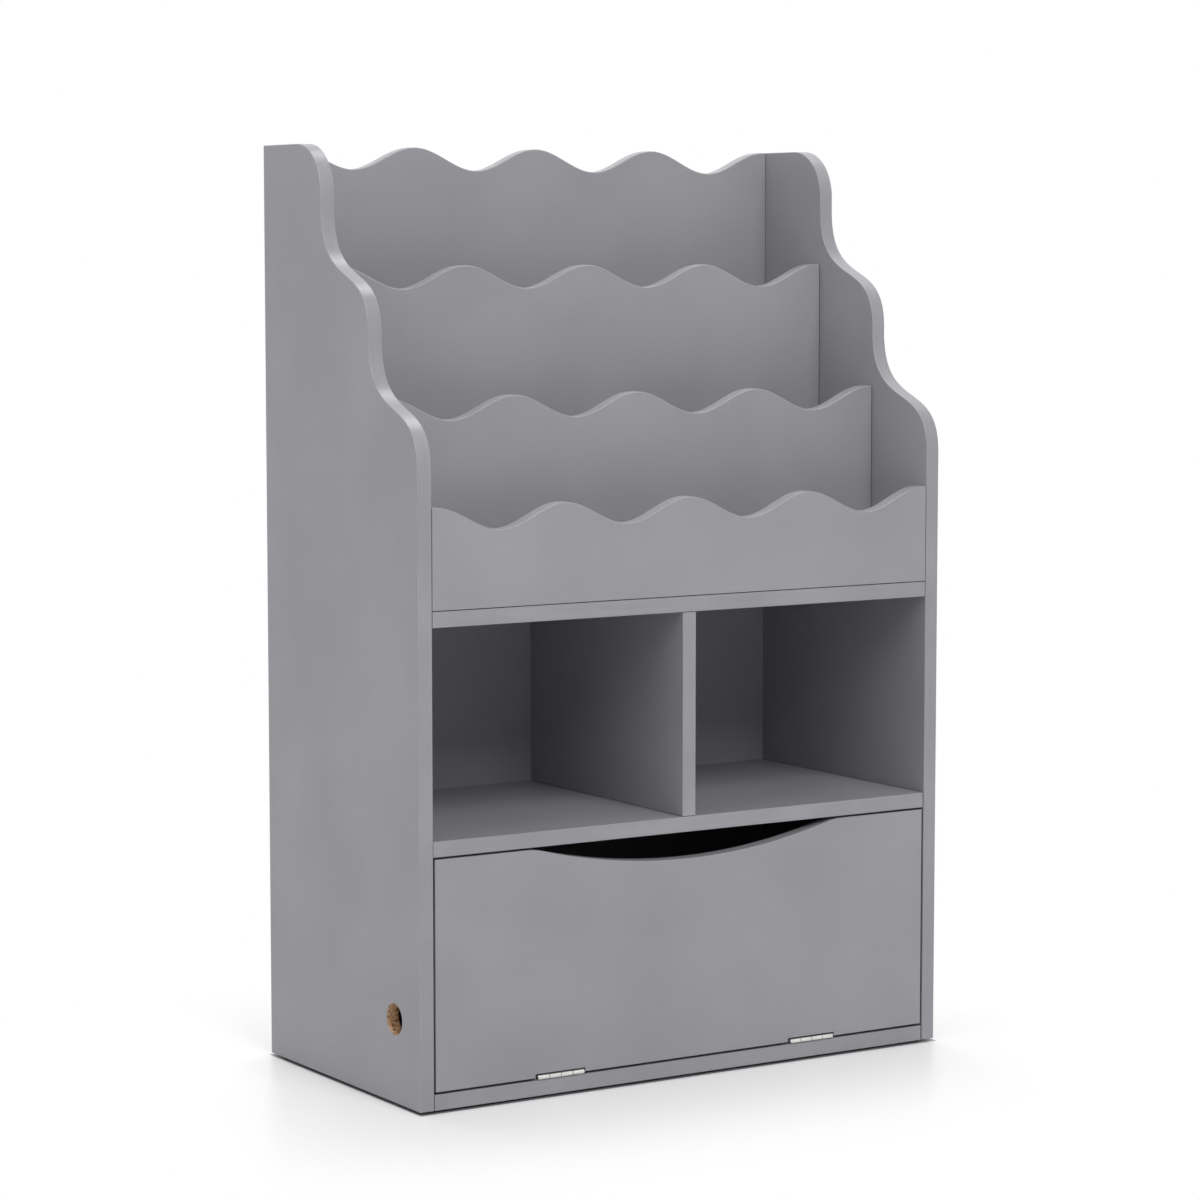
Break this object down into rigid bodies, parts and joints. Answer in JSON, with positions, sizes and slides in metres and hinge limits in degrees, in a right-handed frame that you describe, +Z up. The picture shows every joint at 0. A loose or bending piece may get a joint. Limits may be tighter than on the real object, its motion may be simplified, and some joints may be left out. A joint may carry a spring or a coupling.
{
  "type": "kids bookcase",
  "caption": "Child's bookcase with stepped wavy-front book pockets over open cubbies and a fold-down toy compartment flap.",
  "frame": {"origin": "middle of the bookcase's footprint, on the floor under its glides", "axes": "+Z up; -Y is the front, with the book pockets and the flap; +X to the right seen from the front"},
  "size_m": [0.6, 0.304, 0.903],
  "materials": {
    "painted_board": "satin grey paint on fibreboard",
    "nickel_plated_steel": "bright nickel plate",
    "zinc_fittings": "zinc, dull",
    "beech_dowel": "raw beech",
    "glide_plastic": "moulded, dark grey",
    "catch_plastic": "moulded, white"
  },
  "bodies": {
    "cabinet": {"left_side_panel": "painted_board", "right_side_panel": "painted_board", "back_board": "painted_board", "top_tier_board": "painted_board", "middle_tier_board": "painted_board", "bottom_tier_board": "painted_board", "top_pocket_floor": "painted_board", "middle_pocket_floor": "painted_board", "upper_shelf": "painted_board", "lower_shelf": "painted_board", "cubby_divider": "painted_board", "base_board": "painted_board", "base_left_cam": "zinc_fittings", "base_right_cam": "zinc_fittings", "lower_left_cam": "zinc_fittings", "lower_right_cam": "zinc_fittings", "upper_left_cam": "zinc_fittings", "upper_right_cam": "zinc_fittings", "base_left_bolt": "zinc_fittings", "base_right_bolt": "zinc_fittings", "lower_left_bolt": "zinc_fittings", "lower_right_bolt": "zinc_fittings", "upper_left_bolt": "zinc_fittings", "upper_right_bolt": "zinc_fittings", "base_left_dowel": "beech_dowel", "base_right_dowel": "beech_dowel", "lower_left_dowel": "beech_dowel", "lower_right_dowel": "beech_dowel", "upper_left_dowel": "beech_dowel", "upper_right_dowel": "beech_dowel", "front_left_glide": "glide_plastic", "front_right_glide": "glide_plastic", "rear_left_glide": "glide_plastic", "rear_right_glide": "glide_plastic", "left_hinge_cabinet_leaf": "nickel_plated_steel", "right_hinge_cabinet_leaf": "nickel_plated_steel", "left_hinge_pin": "nickel_plated_steel", "right_hinge_pin": "nickel_plated_steel", "left_hinge_cabinet_screw_1": "nickel_plated_steel", "left_hinge_cabinet_screw_2": "nickel_plated_steel", "right_hinge_cabinet_screw_1": "nickel_plated_steel", "right_hinge_cabinet_screw_2": "nickel_plated_steel", "left_catch": "catch_plastic", "right_catch": "catch_plastic", "left_catch_screw_1": "nickel_plated_steel", "left_catch_screw_2": "nickel_plated_steel", "right_catch_screw_1": "nickel_plated_steel", "right_catch_screw_2": "nickel_plated_steel"},
    "flap": {"flap_door": "painted_board", "left_hinge_flap_leaf": "nickel_plated_steel", "right_hinge_flap_leaf": "nickel_plated_steel", "left_hinge_flap_screw_1": "nickel_plated_steel", "left_hinge_flap_screw_2": "nickel_plated_steel", "right_hinge_flap_screw_1": "nickel_plated_steel", "right_hinge_flap_screw_2": "nickel_plated_steel", "left_strike_plate": "nickel_plated_steel", "right_strike_plate": "nickel_plated_steel", "left_strike_screw": "nickel_plated_steel", "right_strike_screw": "nickel_plated_steel"}
  },
  "joints": [
    {"name": "flap_hinge", "type": "hinge", "parent": "cabinet", "child": "flap", "pos_m": [0, -0.1495, 0.0198], "axis": [1, 0, 0], "range_deg": [0, 95]}
  ]
}
